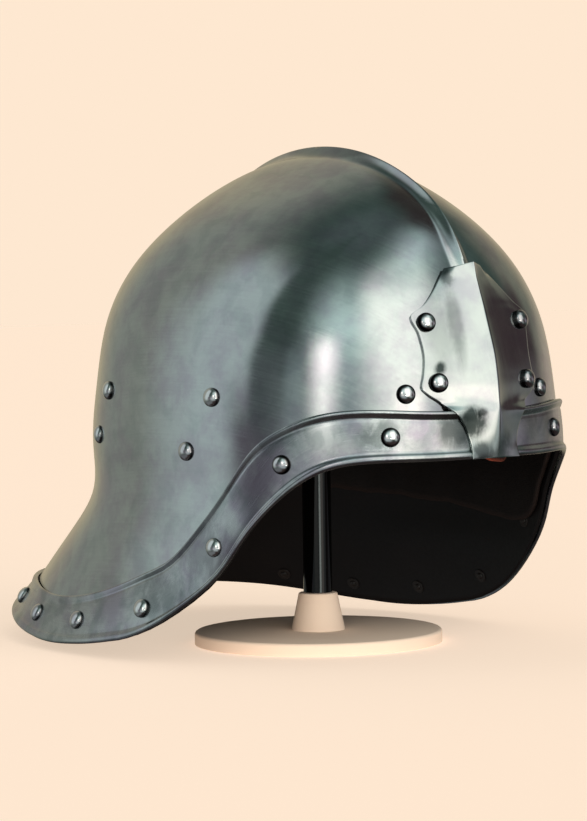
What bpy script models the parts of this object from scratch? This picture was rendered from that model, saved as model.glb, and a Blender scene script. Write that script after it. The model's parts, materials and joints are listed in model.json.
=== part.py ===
"""Steel sallet on a plain display stand.

The helmet is a one-piece steel skull with a low comb and a flared tail, a
riveted border with two beads, a creased brow plate and a leather liner band.
It sits level on a pole stand, with its rim just above the surface.

Every shape is worked out in the helmet's own frame, in millimetres: X across
the head, Y backwards from the brow, Z upwards from the brow's lower edge.
The finished objects are in metres, with the origin on the surface that the
stand rests on, under the middle of the helmet's length.
"""

import math
from collections import namedtuple

import bmesh
import bpy
import numpy as np
from mathutils import Matrix, Vector
from mathutils.bvhtree import BVHTree

MM = 0.001

# ---------------------------------------------------------------- dimensions

# Skull: level sections from the crown down, all in millimetres. A section
# runs from its front, past its widest place, to its back. Fullness is the
# power of its front half: 2 is an ellipse, and more is squarer.
Section = namedtuple("Section", "height front widest back half_width fullness")
APEX_HEIGHT = 140.5
APEX_BACK = 122.5
SECTIONS = (
    Section(128.0, 66.5, 130.0, 175.5, 31.5, 2.00),
    Section(112.0, 42.0, 124.0, 197.5, 56.5, 2.00),
    Section(90.0, 26.0, 118.0, 222.0, 76.5, 2.25),
    Section(60.0, 14.0, 114.0, 239.5, 89.5, 2.35),
    Section(30.0, 9.5, 112.0, 245.0, 94.5, 2.35),
    Section(0.0, 7.5, 112.0, 247.5, 96.0, 2.40),
    Section(-22.0, 4.5, 114.5, 247.5, 97.0, 2.40),
    Section(-38.0, 3.5, 118.5, 261.5, 100.0, 2.50),
    Section(-52.0, 2.0, 123.0, 278.5, 101.5, 2.50),
    Section(-70.0, 1.0, 131.0, 295.5, 107.5, 2.35),
    Section(-90.0, 0.0, 140.5, 317.5, 114.0, 2.25),
)
BACK_FULLNESS = 2.3
SKULL_WALL = 1.6
SKULL_COLUMNS = 64
SKULL_ROWS = 19
ROW_SWEEP = math.radians(110.0)
MEDIAL_CROWDING = 0.38

# Comb: the raised keel over the crown.
COMB_HEIGHT = 4.2
COMB_HALF_WIDTH = 9.0
COMB_CONCAVITY = 1.4
COMB_FRONT_FADE = (45.0, 105.0)
COMB_BACK_FADE = (0.0, 125.0)
COMB_CENTRE = (125.0, 30.0)

# Border band: its two edges round the helmet. Angle is in degrees from the
# brow (0) past the cheek (about 75) to the tail (180), the same on both sides.
BandStation = namedtuple("BandStation", "angle lower upper")
BAND_STATIONS = (
    BandStation(0.0, 0.0, 21.5),
    BandStation(18.0, 0.0, 22.2),
    BandStation(34.0, -0.1, 23.4),
    BandStation(47.5, -3.8, 21.6),
    BandStation(60.5, -17.2, 14.0),
    BandStation(69.0, -34.8, 3.4),
    BandStation(75.5, -55.4, -11.8),
    BandStation(82.0, -72.8, -30.4),
    BandStation(90.0, -84.2, -51.0),
    BandStation(100.0, -89.2, -65.0),
    BandStation(114.0, -88.4, -69.4),
    BandStation(131.0, -83.4, -66.5),
    BandStation(150.0, -80.2, -65.4),
    BandStation(180.0, -79.5, -65.0),
)
# The band's cross-section, once round. Across runs from the lower edge (0)
# to the upper edge (1), and proud is the distance off the skull.
BandPoint = namedtuple("BandPoint", "across proud")
BAND_GAP = 0.7
BAND_FACE = 1.9
BAND_PROFILE = (
    BandPoint(0.00, BAND_GAP),
    BandPoint(-0.02, 1.7),
    BandPoint(0.03, 3.0),
    BandPoint(0.10, 2.9),
    BandPoint(0.17, BAND_FACE),
    BandPoint(0.38, BAND_FACE),
    BandPoint(0.60, BAND_FACE),
    BandPoint(0.81, BAND_FACE),
    BandPoint(0.87, 2.9),
    BandPoint(0.95, 3.2),
    BandPoint(1.00, 2.5),
    BandPoint(1.00, BAND_GAP),
    BandPoint(0.66, BAND_GAP),
    BandPoint(0.33, BAND_GAP),
)
SKULL_EDGE_ABOVE_BAND = 1.0

# Brow plate: rows from the bottom up. Ridge and edge are how far back its
# outer face lies on the crease and at the side edge.
PlateRow = namedtuple("PlateRow", "height half_width ridge edge")
PLATE_ROWS = (
    PlateRow(0.0, 14.5, 0.6, 1.2),
    PlateRow(5.0, 14.0, 0.0, 1.8),
    PlateRow(10.5, 15.2, -0.6, 2.6),
    PlateRow(16.5, 18.0, -1.0, 3.2),
    PlateRow(21.0, 21.5, -1.3, 3.6),
    PlateRow(25.0, 26.0, -1.5, 6.6),
    PlateRow(29.0, 32.0, -1.5, 10.4),
    PlateRow(32.8, 35.3, -1.3, 11.9),
    PlateRow(38.0, 34.0, -0.6, 12.3),
    PlateRow(47.0, 32.6, 1.2, 13.3),
    PlateRow(57.0, 33.4, 4.6, 15.6),
    PlateRow(64.5, 35.5, 7.2, 18.0),
    PlateRow(70.0, 28.0, 9.2, 17.9),
    PlateRow(76.0, 21.5, 11.3, 18.8),
    PlateRow(81.5, 17.0, 13.0, 20.2),
    PlateRow(86.0, 13.6, 14.4, 21.0),
)
PLATE_WALL = 1.5
PLATE_PEAK = 2.8
PLATE_COLUMNS = 10
PLATE_BOW = 0.85

# Liner: a leather band inside the skull.
LinerStation = namedtuple("LinerStation", "angle lower upper")
LINER_STATIONS = (
    LinerStation(0.0, -2.5, 42.0),
    LinerStation(12.0, -1.5, 42.0),
    LinerStation(30.0, 3.0, 42.0),
    LinerStation(50.0, -2.0, 42.0),
    LinerStation(62.0, -15.0, 42.0),
    LinerStation(70.0, -31.0, 42.0),
    LinerStation(78.0, -39.0, 42.0),
    LinerStation(88.0, -35.5, 42.0),
    LinerStation(105.0, -30.0, 42.0),
    LinerStation(130.0, -26.0, 42.0),
    LinerStation(180.0, -25.0, 42.0),
)
LINER_WALL = 2.0
LINER_GAP = 0.9
LINER_ROWS = 6

# Rivets: domed heads with a flat underside.
RIVET_RADIUS = 3.9
RIVET_HEIGHT = 2.9
RIVET_SIDES = 10
RIVET_GAP = 0.3
RIVET_SEARCH = 10.0
BandRivet = namedtuple("BandRivet", "angle across")
BAND_RIVETS = (
    BandRivet(27.5, 0.47),
    BandRivet(58.9, 0.47),
    BandRivet(76.9, 0.47),
    BandRivet(88.6, 0.38),
    BandRivet(100.6, 0.45),
    BandRivet(115.4, 0.48),
    BandRivet(132.7, 0.48),
    BandRivet(155.5, 0.48),
)
TAIL_RIVET_ACROSS = 0.48
SkullRivet = namedtuple("SkullRivet", "name angle height")
SKULL_RIVETS = (
    SkullRivet("rivet_brow", 22.6, 30.0),
    SkullRivet("rivet_liner_front_upper", 81.0, 28.9),
    SkullRivet("rivet_liner_front_lower", 88.6, 3.8),
    SkullRivet("rivet_liner_back_upper", 117.3, 29.7),
    SkullRivet("rivet_liner_back_lower", 123.0, 8.1),
)
PlateRivet = namedtuple("PlateRivet", "name across height")
PLATE_RIVETS = (
    PlateRivet("rivet_plate_lower", 27.7, 34.7),
    PlateRivet("rivet_plate_upper", 29.4, 61.9),
)

# Stand: a round base, a pole and a domed head under the crown.
RIM_CLEARANCE = 5.0
STAND_BACK = 128.0
BASE_RADIUS = 60.0
BASE_HEIGHT = 6.0
BASE_EDGE = 1.5
HUB_RADIUS = 13.0
HUB_TOP_RADIUS = 9.5
HUB_HEIGHT = 24.0
POLE_RADIUS = 7.0
HEAD_RADIUS = 26.0
HEAD_HEIGHT = 12.0
HEAD_TOP = 136.0
STAND_GAP = 0.3

RIGHT, LEFT = -1.0, 1.0
SIDES = ((RIGHT, "right"), (LEFT, "left"))


# ------------------------------------------------------------------- surface

def smooth_curve(stations, values):
    """Return a natural cubic spline through the values at the stations."""
    knots = np.array(stations, float)
    heights = np.array(values, float)
    steps = np.diff(knots)
    count = len(knots)
    system = np.eye(count)
    bends = np.zeros(count)
    for i in range(1, count - 1):
        system[i, i - 1:i + 2] = steps[i - 1], 2.0 * (steps[i - 1] + steps[i]), steps[i]
        slopes = np.diff(heights[i - 1:i + 2]) / steps[i - 1:i + 1]
        bends[i] = 6.0 * (slopes[1] - slopes[0])
    bends = np.linalg.solve(system, bends)

    def at(place):
        place = min(max(place, knots[0]), knots[-1])
        i = min(max(int(np.searchsorted(knots, place)) - 1, 0), count - 2)
        before = (knots[i + 1] - place) / steps[i]
        after = 1.0 - before
        curve = (before ** 3 - before) * bends[i] + (after ** 3 - after) * bends[i + 1]
        return before * heights[i] + after * heights[i + 1] + curve * steps[i] ** 2 / 6.0

    return at


def drop_below_apex(height):
    """Return the square root of the drop, in which a dome's reach is smooth."""
    return math.sqrt(max(APEX_HEIGHT - height, 0.0))


def section_curve(column, at_apex):
    """Return one column of the sections as a curve over the drop."""
    stations = [0.0] + [drop_below_apex(row.height) for row in SECTIONS]
    return smooth_curve(stations, [at_apex] + [getattr(row, column) for row in SECTIONS])


FRONT = section_curve("front", APEX_BACK)
WIDEST = section_curve("widest", APEX_BACK)
BACK = section_curve("back", APEX_BACK)
HALF_WIDTH = section_curve("half_width", 0.0)
FULLNESS = section_curve("fullness", SECTIONS[0].fullness)

BAND_ANGLES = [row.angle for row in BAND_STATIONS]
BAND_LOWER = smooth_curve(BAND_ANGLES, [row.lower for row in BAND_STATIONS])
BAND_UPPER = smooth_curve(BAND_ANGLES, [row.upper for row in BAND_STATIONS])
LINER_ANGLES = [row.angle for row in LINER_STATIONS]
LINER_LOWER = smooth_curve(LINER_ANGLES, [row.lower for row in LINER_STATIONS])
LINER_UPPER = smooth_curve(LINER_ANGLES, [row.upper for row in LINER_STATIONS])


def fade_in(value, start, end):
    """Return a smooth step from 0 at start to 1 at end."""
    t = min(max((value - start) / (end - start), 0.0), 1.0)
    return t * t * (3.0 - 2.0 * t)


def from_brow(angle):
    """Return the unsigned angle from the brow, 0 to 180 degrees."""
    turn = angle % 360.0
    return min(turn, 360.0 - turn)


def signed_power(value, power):
    """Return the value raised to a power with its sign kept."""
    return math.copysign(abs(value) ** power, value)


def bowl_point(angle, height):
    """Return the point of the plain bowl at an angle and a height."""
    drop = drop_below_apex(height)
    cosine = math.cos(math.radians(angle))
    sine = math.sin(math.radians(angle))
    widest = WIDEST(drop)
    if cosine > 0.0:
        power = 2.0 / FULLNESS(drop)
        reach = widest - FRONT(drop)
    else:
        power = 2.0 / BACK_FULLNESS
        reach = BACK(drop) - widest
    return Vector((
        HALF_WIDTH(drop) * signed_power(sine, power),
        widest - reach * signed_power(cosine, power),
        height,
    ))


def bowl_normal(angle, height):
    """Return the bowl's outward direction at an angle and a height."""
    turn = 0.5
    fall = 0.5
    along = bowl_point(angle + turn, height) - bowl_point(angle - turn, height)
    up = bowl_point(angle, height + fall) - bowl_point(angle, height - fall)
    return along.cross(up).normalized()


def off_skull(angle, height, distance):
    """Return the point that stands a distance off the skull's outer face."""
    return bowl_point(angle, height) + bowl_normal(angle, height) * distance


def skull_point(angle, height):
    """Return the skull's outer face, which is the bowl with its comb."""
    point = bowl_point(angle, height)
    reach = max(1.0 - abs(point.x) / COMB_HALF_WIDTH, 0.0)
    fade = COMB_FRONT_FADE if point.y < APEX_BACK else COMB_BACK_FADE
    lift = COMB_HEIGHT * fade_in(height, *fade) * reach ** COMB_CONCAVITY
    outward = Vector((0.0, point.y - COMB_CENTRE[0], point.z - COMB_CENTRE[1]))
    return point + outward.normalized() * lift


def column_angle(share):
    """Return the angle of a column, with columns crowded at the comb."""
    turn = 2.0 * math.pi * share
    return math.degrees(turn - MEDIAL_CROWDING * math.sin(2.0 * turn))


# -------------------------------------------------------------------- makers

def material(name, colour, roughness, metallic):
    """Return a plain Principled material."""
    made = bpy.data.materials.new(name)
    made.use_nodes = True
    shader = made.node_tree.nodes["Principled BSDF"]
    shader.inputs["Base Color"].default_value = (*colour, 1.0)
    shader.inputs["Roughness"].default_value = roughness
    shader.inputs["Metallic"].default_value = metallic
    return made


def place_object(name, bm, finish):
    """Turn a bmesh in helmet millimetres into an object in metres."""
    bmesh.ops.scale(bm, vec=(MM, MM, MM), verts=bm.verts)
    mesh = bpy.data.meshes.new(name)
    bm.to_mesh(mesh)
    bm.free()
    mesh.materials.append(finish)
    mesh.shade_smooth()
    mesh.set_sharp_from_angle(angle=math.radians(35.0))
    made = bpy.data.objects.new(name, mesh)
    bpy.context.scene.collection.objects.link(made)
    return made


def fitted_grid(columns, rows, place):
    """Return a grid of columns and rows, each vertex moved by place(u, v).

    Rows or columns that place brings together are welded.
    """
    bm = bmesh.new()
    bmesh.ops.create_grid(bm, x_segments=columns, y_segments=rows, size=0.5)
    for vertex in bm.verts:
        vertex.co = place(vertex.co.x + 0.5, vertex.co.y + 0.5)
    bmesh.ops.remove_doubles(bm, verts=bm.verts, dist=0.001)
    bmesh.ops.recalc_face_normals(bm, faces=bm.faces)
    return bm


def thicken_inwards(made, wall):
    """Give a sheet its wall, inside the face that was modelled."""
    solid = made.modifiers.new("wall", "SOLIDIFY")
    solid.thickness = wall * MM
    solid.offset = -1.0
    solid.use_even_offset = True


# --------------------------------------------------------------------- parts

def build_skull(finish):
    """The bowl with its comb, from the crown to just above the band's edge."""
    full_drop = 1.0 - math.cos(ROW_SWEEP)

    def place(share, depth):
        angle = column_angle(share)
        edge = BAND_LOWER(from_brow(angle)) + SKULL_EDGE_ABOVE_BAND
        drop = (1.0 - math.cos(ROW_SWEEP * depth)) / full_drop
        return skull_point(angle, APEX_HEIGHT - (APEX_HEIGHT - edge) * drop)

    made = place_object("skull", fitted_grid(SKULL_COLUMNS, SKULL_ROWS, place), finish)
    thicken_inwards(made, SKULL_WALL)
    return made


def band_height(angle, across):
    """Return the height of a place across the band."""
    turn = from_brow(angle)
    lower = BAND_LOWER(turn)
    return lower + (BAND_UPPER(turn) - lower) * across


def build_band(finish):
    """The beaded border that runs all round the rim."""
    sides = len(BAND_PROFILE)

    def place(share, loop):
        angle = column_angle(share)
        point = BAND_PROFILE[round(loop * sides) % sides]
        return off_skull(angle, band_height(angle, point.across), point.proud)

    return place_object("border_band", fitted_grid(SKULL_COLUMNS, sides, place), finish)


def build_brow_plate(finish):
    """The creased plate with cusped sides over the brow."""
    last = len(PLATE_ROWS) - 1
    top = PLATE_ROWS[last]
    peak_start = PLATE_ROWS[last - 1].height

    def place(share, climb):
        row = PLATE_ROWS[round(climb * last)]
        across = 2.0 * share - 1.0
        out = abs(across)
        peak = PLATE_PEAK * fade_in(row.height, peak_start, top.height)
        back = row.ridge + (row.edge - row.ridge) * out ** PLATE_BOW
        return Vector((row.half_width * across, back, row.height + peak * (1.0 - out)))

    bm = fitted_grid(PLATE_COLUMNS, last, place)
    if bm.faces[0].normal.y > 0.0:
        bmesh.ops.reverse_faces(bm, faces=bm.faces)
    made = place_object("brow_plate", bm, finish)
    thicken_inwards(made, PLATE_WALL)
    return made


def build_liner(finish):
    """The leather band inside the skull, which its rivets hold."""
    inside = -(SKULL_WALL + LINER_GAP)

    def place(share, climb):
        angle = column_angle(share)
        turn = from_brow(angle)
        lower = LINER_LOWER(turn)
        return off_skull(angle, lower + (LINER_UPPER(turn) - lower) * climb, inside)

    made = place_object("liner", fitted_grid(SKULL_COLUMNS, LINER_ROWS, place), finish)
    thicken_inwards(made, LINER_WALL)
    return made


def dome(radius, height, sides, rings):
    """Return a closed dome with its flat side at zero."""
    bm = bmesh.new()
    bmesh.ops.create_uvsphere(bm, u_segments=sides, v_segments=2 * rings, radius=1.0)
    everything = bm.verts[:] + bm.edges[:] + bm.faces[:]
    bmesh.ops.bisect_plane(bm, geom=everything, plane_co=(0, 0, 0), plane_no=(0, 0, 1),
                           clear_inner=True, dist=0.0001)
    rim = [edge for edge in bm.edges if edge.is_boundary]
    bmesh.ops.contextual_create(bm, geom=rim)
    bmesh.ops.scale(bm, vec=(radius, radius, height), verts=bm.verts)
    bmesh.ops.recalc_face_normals(bm, faces=bm.faces)
    return bm


def outer_face_of(made):
    """Return a search tree of an object's finished faces, in metres."""
    bpy.context.view_layer.update()
    return BVHTree.FromObject(made, bpy.context.evaluated_depsgraph_get())


def build_rivet(name, under, seat, normal, finish):
    """One domed rivet head, lowered until it just clears what is under it."""
    turn = normal.to_track_quat("Z", "Y").to_matrix().to_4x4()
    spot = Matrix.Translation(seat) @ turn
    highest = None
    for corner in range(RIVET_SIDES + 1):
        reach = RIVET_RADIUS if corner < RIVET_SIDES else 0.0
        way = 2.0 * math.pi * corner / RIVET_SIDES
        start = spot @ Vector((reach * math.cos(way), reach * math.sin(way), RIVET_SEARCH))
        _, _, _, distance = under.ray_cast(start * MM, -normal, 2.0 * RIVET_SEARCH * MM)
        if distance is not None:
            found = RIVET_SEARCH - distance / MM
            highest = found if highest is None else max(highest, found)

    bm = dome(RIVET_RADIUS, RIVET_HEIGHT, RIVET_SIDES, rings=3)
    bmesh.ops.translate(bm, vec=(0.0, 0.0, highest + RIVET_GAP), verts=bm.verts)
    bmesh.ops.transform(bm, matrix=spot, verts=bm.verts)
    return place_object(name, bm, finish)


def plate_face(across, height):
    """Return a point of the brow plate's outer face and its direction."""
    heights = [row.height for row in PLATE_ROWS]

    def face(x, z):
        values = [np.interp(z, heights, [getattr(row, column) for row in PLATE_ROWS])
                  for column in ("half_width", "ridge", "edge")]
        half_width, ridge, edge = values
        return Vector((x, ridge + (edge - ridge) * (abs(x) / half_width) ** PLATE_BOW, z))

    step = 1.0
    along = face(across + step, height) - face(across - step, height)
    up = face(across, height + step) - face(across, height - step)
    return face(across, height), along.cross(up).normalized()


def build_rivets(finish, skull, band, plate):
    """All the rivet heads, in pairs, with one at the middle of the tail."""
    on_skull = outer_face_of(skull)
    on_band = outer_face_of(band)
    on_plate = outer_face_of(plate)
    for side, side_name in SIDES:
        for number, spot in enumerate(BAND_RIVETS, start=1):
            height = band_height(spot.angle, spot.across)
            build_rivet(f"rivet_band_{side_name}_{number}", on_band,
                        off_skull(side * spot.angle, height, BAND_FACE),
                        bowl_normal(side * spot.angle, height), finish)
        for spot in SKULL_RIVETS:
            build_rivet(f"{spot.name}_{side_name}", on_skull,
                        bowl_point(side * spot.angle, spot.height),
                        bowl_normal(side * spot.angle, spot.height), finish)
        for spot in PLATE_RIVETS:
            seat, normal = plate_face(side * spot.across, spot.height)
            build_rivet(f"{spot.name}_{side_name}", on_plate, seat, normal, finish)
    height = band_height(180.0, TAIL_RIVET_ACROSS)
    build_rivet("rivet_band_tail", on_band, off_skull(180.0, height, BAND_FACE),
                bowl_normal(180.0, height), finish)


def on_stand_axis(bm, lift):
    """Move a bmesh onto the stand's axis and up by a lift."""
    bmesh.ops.translate(bm, vec=(0.0, STAND_BACK, lift), verts=bm.verts)
    return bm


def turned(profile, sides):
    """Return a closed solid turned about Z from (radius, height) pairs."""
    bm = bmesh.new()
    corners = [bm.verts.new((radius, 0.0, height)) for radius, height in profile]
    edges = [bm.edges.new(pair) for pair in zip(corners, corners[1:])]
    bmesh.ops.spin(bm, geom=corners + edges, cent=(0, 0, 0), axis=(0, 0, 1),
                   angle=2.0 * math.pi, steps=sides, use_merge=True)
    bmesh.ops.remove_doubles(bm, verts=bm.verts, dist=0.001)
    bmesh.ops.recalc_face_normals(bm, faces=bm.faces)
    return bm


def build_stand(base_finish, pole_finish, head_finish):
    """The round base with its hub, the pole and the head under the crown."""
    floor = floor_height()
    head_bottom = HEAD_TOP - HEAD_HEIGHT

    base = turned((
        (0.0, 0.0),
        (BASE_RADIUS, 0.0),
        (BASE_RADIUS, BASE_HEIGHT - BASE_EDGE),
        (BASE_RADIUS - BASE_EDGE, BASE_HEIGHT),
        (HUB_RADIUS, BASE_HEIGHT),
        (HUB_TOP_RADIUS, HUB_HEIGHT),
        (0.0, HUB_HEIGHT),
    ), sides=48)
    place_object("stand_base", on_stand_axis(base, floor), base_finish)

    pole_bottom = floor + HUB_HEIGHT + STAND_GAP
    pole_top = head_bottom - STAND_GAP
    pole = turned((
        (0.0, 0.0),
        (POLE_RADIUS, 0.0),
        (POLE_RADIUS, pole_top - pole_bottom),
        (0.0, pole_top - pole_bottom),
    ), sides=20)
    place_object("stand_pole", on_stand_axis(pole, pole_bottom), pole_finish)

    head = dome(HEAD_RADIUS, HEAD_HEIGHT, sides=24, rings=5)
    place_object("stand_head", on_stand_axis(head, head_bottom), head_finish)


def floor_height():
    """Return the height of the surface below the brow's lower edge."""
    return min(row.lower for row in BAND_STATIONS) - RIM_CLEARANCE


def centre_on_floor():
    """Move every mesh so that the origin is on the floor under the middle."""
    bpy.context.view_layer.update()
    graph = bpy.context.evaluated_depsgraph_get()
    reach = []
    for made in bpy.context.scene.objects:
        evaluated = made.evaluated_get(graph)
        reach += [vertex.co.y for vertex in evaluated.data.vertices]
    middle = (min(reach) + max(reach)) / 2.0
    shift = Matrix.Translation((0.0, -middle, -floor_height() * MM))
    for made in bpy.context.scene.objects:
        made.data.transform(shift)


def main():
    """Clear the scene and build the helmet and its stand."""
    for leftover in list(bpy.data.objects):
        bpy.data.objects.remove(leftover, do_unlink=True)
    steel = material("satin_steel", (0.42, 0.44, 0.43), 0.32, 1.0)
    plate_steel = material("plate_steel", (0.50, 0.53, 0.52), 0.28, 1.0)
    border_steel = material("border_steel", (0.48, 0.48, 0.48), 0.28, 1.0)
    rivet_steel = material("rivet_steel", (0.50, 0.49, 0.48), 0.22, 1.0)
    leather = material("liner_leather", (0.035, 0.018, 0.012), 0.75, 0.0)
    enamel = material("black_enamel", (0.012, 0.012, 0.012), 0.25, 0.0)
    pale_paint = material("pale_paint", (0.80, 0.68, 0.58), 0.60, 0.0)

    skull = build_skull(steel)
    band = build_band(border_steel)
    plate = build_brow_plate(plate_steel)
    build_liner(leather)
    build_rivets(rivet_steel, skull, band, plate)
    build_stand(pale_paint, enamel, enamel)
    centre_on_floor()


main()
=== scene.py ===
"""Looks of a steel sallet that stands level on a plain display stand.

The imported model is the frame: it says where the stand and the crown are and
where each rivet sits. The helmet's own forms are worked out in millimetres in
the helmet's frame, X across the head, Y backwards from the brow, Z up from the
brow's lower edge, and are then placed on that frame in metres. Angles go round
the helmet in degrees, from the brow towards the wearer's left.
"""

from __future__ import annotations

import json
import logging
import math
from dataclasses import dataclass, field
from enum import Enum
from functools import partial
from typing import Any, Callable, Sequence

import bmesh
import bpy
import numpy as np
from mathutils import Matrix, Vector
from mathutils.bvhtree import BVHTree

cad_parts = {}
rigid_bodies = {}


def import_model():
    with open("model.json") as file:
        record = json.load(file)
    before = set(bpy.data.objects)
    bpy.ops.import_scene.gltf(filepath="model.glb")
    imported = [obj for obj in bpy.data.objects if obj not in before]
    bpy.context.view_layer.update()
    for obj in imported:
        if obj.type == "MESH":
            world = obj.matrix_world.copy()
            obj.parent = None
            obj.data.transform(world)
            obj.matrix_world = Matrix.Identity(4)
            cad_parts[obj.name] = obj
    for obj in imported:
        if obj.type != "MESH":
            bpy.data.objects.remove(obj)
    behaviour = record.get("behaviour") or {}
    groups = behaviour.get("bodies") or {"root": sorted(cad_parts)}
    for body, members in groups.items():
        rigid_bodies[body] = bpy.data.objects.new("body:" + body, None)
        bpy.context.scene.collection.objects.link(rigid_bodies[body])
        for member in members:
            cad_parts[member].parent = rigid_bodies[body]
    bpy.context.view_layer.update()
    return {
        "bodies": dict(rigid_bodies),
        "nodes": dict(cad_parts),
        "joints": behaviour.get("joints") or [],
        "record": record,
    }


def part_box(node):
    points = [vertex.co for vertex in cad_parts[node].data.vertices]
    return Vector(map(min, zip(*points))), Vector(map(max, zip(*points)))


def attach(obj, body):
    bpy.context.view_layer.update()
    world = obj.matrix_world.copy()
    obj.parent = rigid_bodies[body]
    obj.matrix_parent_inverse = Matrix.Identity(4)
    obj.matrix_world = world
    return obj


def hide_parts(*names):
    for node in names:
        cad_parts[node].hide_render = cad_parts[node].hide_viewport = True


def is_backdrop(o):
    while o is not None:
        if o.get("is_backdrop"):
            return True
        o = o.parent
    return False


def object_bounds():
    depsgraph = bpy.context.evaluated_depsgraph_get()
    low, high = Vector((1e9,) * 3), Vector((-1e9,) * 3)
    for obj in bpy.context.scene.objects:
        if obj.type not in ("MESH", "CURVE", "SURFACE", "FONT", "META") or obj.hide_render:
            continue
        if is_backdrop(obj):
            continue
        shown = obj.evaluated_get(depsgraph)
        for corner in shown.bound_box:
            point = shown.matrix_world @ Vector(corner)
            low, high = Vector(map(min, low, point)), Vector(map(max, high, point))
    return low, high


MM = 0.001
GRID_WELD_MM = 0.004
TURNED_WELD_MM = 0.0005
BODY = "root"
LOG = logging.getLogger("sallet")

Array = np.ndarray
BMesh = bmesh.types.BMesh
Material = bpy.types.Material
NodeSocket = bpy.types.NodeSocket
Object = bpy.types.Object
Adder = Callable[..., NodeSocket]
Pair = tuple[float, float]
Place = tuple[float, float, float]
Rows = Sequence[tuple[float, ...]]


class Grain(Enum):
    """Which way a piece of steel was brushed, by what carries its pattern."""

    ROUND_THE_BOWL = "Object"
    ALONG_THE_STRIP = "lay"


# -------------------------------------------------------------------- curves

class Curve:
    """A cubic through values at rising stations, held level past its ends."""

    def __init__(self, stations: Sequence[float], values: Sequence[float]) -> None:
        """Set the slope at each station.

        Args:
            stations: Rising places along the curve.
            values: The curve's value at each station.
        """
        self.stations = np.array(stations, float)
        self.values = np.array(values, float)
        self.steps = np.diff(self.stations)
        self.chords = np.diff(self.values) / self.steps
        self.slopes = self._find_slopes()

    def _find_slopes(self) -> Array:
        """Return the slope at each station."""
        raise NotImplementedError

    def __call__(self, places: Array) -> Array:
        """Follow the curve.

        Args:
            places: Where along it.

        Returns:
            Its value at each place.
        """
        places = np.clip(places, self.stations[0], self.stations[-1])
        i = np.clip(np.searchsorted(self.stations, places) - 1, 0, len(self.steps) - 1)
        t = (places - self.stations[i]) / self.steps[i]
        rise = self.values[i + 1] - self.values[i]
        leave = self.slopes[i] * self.steps[i]
        arrive = self.slopes[i + 1] * self.steps[i]
        return (self.values[i] + leave * t + (3.0 * rise - 2.0 * leave - arrive) * t ** 2
                + (leave + arrive - 2.0 * rise) * t ** 3)


class SmoothCurve(Curve):
    """A natural spline, for forms whose curvature must not jump."""

    def _find_slopes(self) -> Array:
        """Solve for slopes that carry the bend on from span to span.

        Returns:
            The slope at each station.
        """
        count = len(self.stations)
        system, pull = np.zeros((count, count)), np.zeros(count)
        for i, (stiffness, chord) in enumerate(zip(1.0 / self.steps, self.chords)):
            system[i:i + 2, i:i + 2] += stiffness * (np.eye(2) + 1.0)
            pull[i:i + 2] += 3.0 * stiffness * chord
        return np.linalg.solve(system, pull)


class TautCurve(Curve):
    """A cubic that never swings past its values, for outlines with corners."""

    def _find_slopes(self) -> Array:
        """Keep the curve level wherever it turns back.

        Returns:
            The slope at each station.
        """
        before, after = self.chords[:-1], self.chords[1:]
        onward = before * after > 0.0
        slopes = np.zeros(len(self.stations))
        slopes[[0, -1]] = self.chords[[0, -1]]
        slopes[1:-1][onward] = 2.0 / (1.0 / before[onward] + 1.0 / after[onward])
        return slopes


def fade_in(values: Array, start: float, end: float) -> Array:
    """Return a smooth step from 0 at start to 1 at end."""
    t = np.clip((values - start) / (end - start), 0.0, 1.0)
    return t * t * (3.0 - 2.0 * t)


def from_brow(angles: Array) -> Array:
    """Return the unsigned angles from the brow, 0 to 180 degrees."""
    turn = np.mod(angles, 360.0)
    return np.minimum(turn, 360.0 - turn)


def signed_power(values: Array, power: Array | float) -> Array:
    """Return the values raised to a power with their signs kept."""
    return np.copysign(np.abs(values) ** power, values)


def crowded_angles(shares: Array, crowding: float = 0.38) -> Array:
    """Return angles for shares round the helmet, crowded at the brow and tail."""
    turn = 2.0 * math.pi * shares
    return np.degrees(turn - crowding * np.sin(2.0 * turn))


# ------------------------------------------------------------- helmet's form

@dataclass(frozen=True)
class Comb:
    """The raised keel over the crown, in millimetres.

    Down the front its half width and the hollowing of its flanks are given
    as pairs of a height and a value.
    """

    height: float = 4.2
    back_half_width: float = 6.4
    back_hollowing: float = 1.7
    front_half_widths: Rows = ((60, 6.8), (92, 6.0), (104, 5.6), (128, 5.8), (140.5, 6.4))
    front_hollowings: Rows = ((60, 1.9), (94, 1.9), (106, 3.1), (128, 3.1), (138, 1.7),
                              (140.5, 1.7))
    crest_radius: float = 0.45
    front_fade: Pair = (45.0, 105.0)
    back_fade: Pair = (0.0, 125.0)
    centre: Pair = (125.0, 30.0)


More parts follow.
